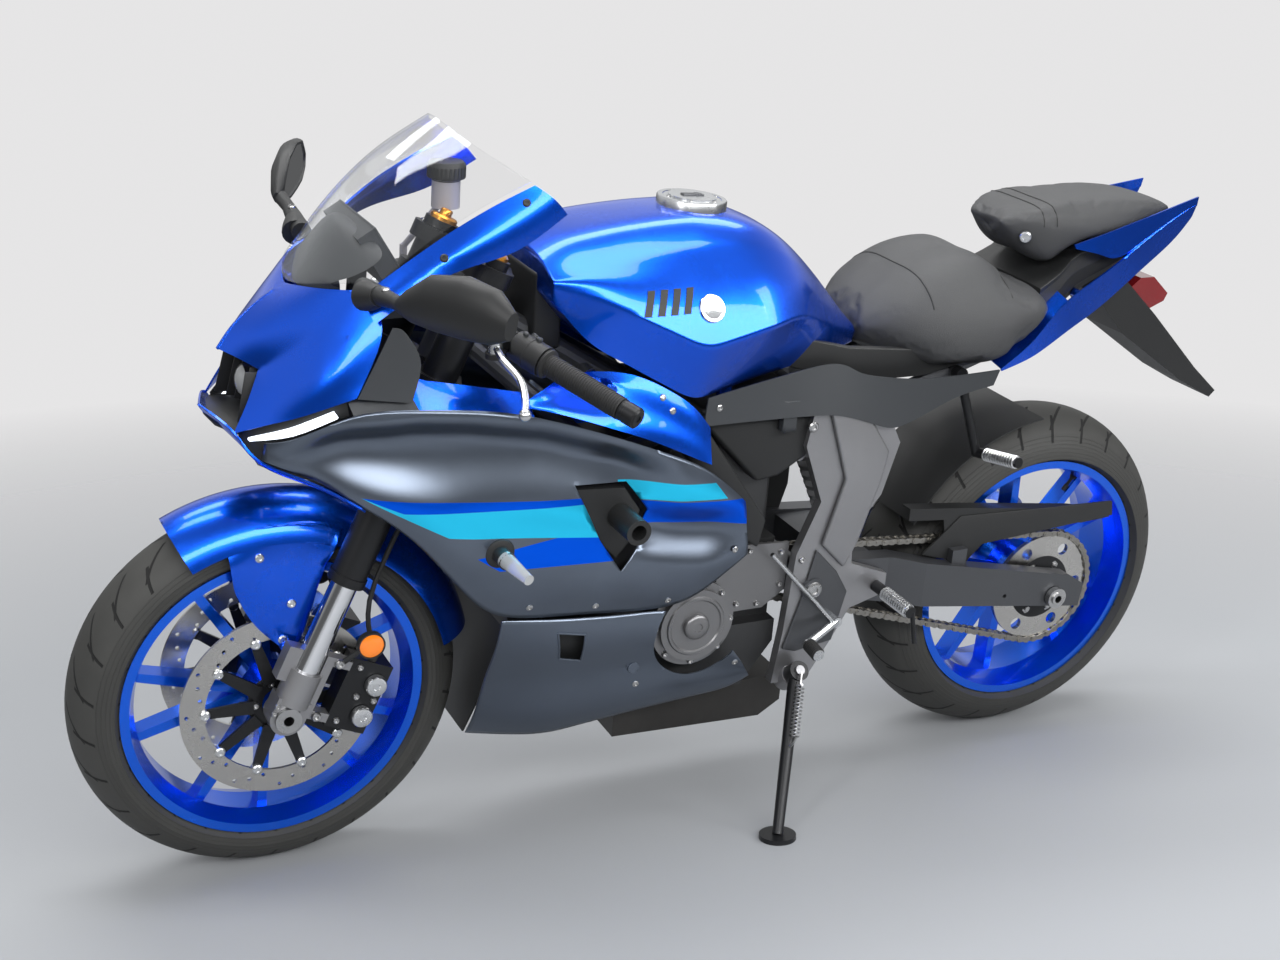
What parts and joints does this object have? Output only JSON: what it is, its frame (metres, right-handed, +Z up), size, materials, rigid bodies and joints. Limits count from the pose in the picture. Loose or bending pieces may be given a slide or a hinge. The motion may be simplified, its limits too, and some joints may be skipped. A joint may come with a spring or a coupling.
{
  "type": "sport_motorcycle",
  "caption": "Fully faired sport motorcycle in blue and graphite, parked on its side stand, with turning wheels, steering, folding stand and fuel cap",
  "frame": {"origin": "on the floor, under the middle of the bounding box of the parked bike", "axes": "+X forward along the bike, +Y to the rider's left, +Z up"},
  "size_m": [2.0869, 0.9846, 1.1568],
  "materials": {
    "tyre": "moulded rubber, dull",
    "wheel_blue": "metallic blue paint, gloss",
    "disc_steel": "ground and drilled steel",
    "black_metal": "satin black anodise and paint",
    "axle_steel": "turned steel",
    "cast_grey": "cast alloy, grey paint",
    "fork_chrome": "hard chrome, polished",
    "rubber_black": "moulded rubber",
    "black_plastic": "moulded, fine grain",
    "lever_alloy": "polished alloy",
    "milky_plastic": "translucent moulding",
    "body_blue": "metallic blue with clear coat",
    "dark_metal": "dark grey satin paint",
    "chain_steel": "oiled steel",
    "spring_gold": "gloss paint",
    "engine_dark": "dark satin engine paint",
    "exhaust_steel": "heat-dulled steel",
    "seat_vinyl": "matte grained vinyl",
    "grey_plastic": "moulded, textured",
    "red_lens": "clear red moulding",
    "screen_clear": "clear polycarbonate",
    "lamp_white": "white light guide",
    "graphite": "satin metallic graphite paint",
    "lens_clear": "clear moulded lens"
  },
  "bodies": {
    "frame": {"rear_axle": "axle_steel", "rear_caliper": "black_metal", "swingarm": "dark_metal", "chain": "chain_steel", "chain_guard": "black_plastic", "rear_shock": "spring_gold", "main_frame": "dark_metal", "pivot_plates": "cast_grey", "engine_block": "engine_dark", "engine_covers": "engine_dark", "radiator": "engine_dark", "exhaust": "exhaust_steel", "fuel_tank": "body_blue", "rider_seat": "seat_vinyl", "pillion_seat": "seat_vinyl", "seat_tray": "black_plastic", "tail_cowls": "body_blue", "side_covers": "grey_plastic", "plate_bracket": "black_plastic", "tail_lamp": "red_lens", "upper_cowl": "body_blue", "cowl_inserts": "grey_plastic", "windscreen": "screen_clear", "headlamps": "black_plastic", "day_lamps": "lamp_white", "cockpit": "black_plastic", "upper_panels": "body_blue", "side_fairings": "graphite", "belly_pan": "graphite", "vent_ducts": "black_plastic", "frame_sliders": "black_plastic", "turn_signals": "lens_clear", "mirrors": "black_plastic", "footrests": "lever_alloy", "foot_controls": "lever_alloy"},
    "steering": {"front_axle": "axle_steel", "fork_bottoms": "cast_grey", "fork_stanchions": "fork_chrome", "fork_tubes": "black_metal", "triple_clamps": "black_metal", "clip_ons": "black_metal", "grips": "rubber_black", "switchgear": "black_plastic", "levers": "lever_alloy", "brake_reservoir": "milky_plastic", "front_calipers": "black_metal", "front_fender": "body_blue", "brake_hoses": "rubber_black"},
    "front_wheel": {"front_tyre": "tyre", "front_rim": "wheel_blue", "front_rotors": "disc_steel", "front_carriers": "black_metal"},
    "rear_wheel": {"rear_tyre": "tyre", "rear_rim": "wheel_blue", "rear_sprocket": "disc_steel", "rear_rotor": "disc_steel"},
    "side_stand": {"side_stand": "black_metal"},
    "fuel_cap": {"fuel_cap": "lever_alloy"}
  },
  "joints": [
    {"name": "steering", "type": "hinge", "parent": "frame", "child": "steering", "pos_m": [0.43855, -0.01833, 0.88879], "axis": [-0.4017, 0.1499, 0.9034], "range_deg": [-27, 27]},
    {"name": "front_wheel_spin", "type": "hinge", "parent": "steering", "child": "front_wheel", "pos_m": [0.74347, -0.11653, 0.29679], "axis": [0, 0.9865, -0.1637], "continuous": true},
    {"name": "rear_wheel_spin", "type": "hinge", "parent": "frame", "child": "rear_wheel", "pos_m": [-0.65155, -0.11407, 0.31199], "axis": [0, 0.9865, -0.1637], "continuous": true},
    {"name": "side_stand_fold", "type": "hinge", "parent": "frame", "child": "side_stand", "pos_m": [-0.10657, 0.04693, 0.2314], "axis": [0.0002, 0.8487, 0.5289], "range_deg": [0, 96]},
    {"name": "fuel_cap_lid", "type": "hinge", "parent": "frame", "child": "fuel_cap", "pos_m": [0.12007, 0.00433, 1.02546], "axis": [0, 0.9865, -0.1637], "range_deg": [0, 80]}
  ]
}
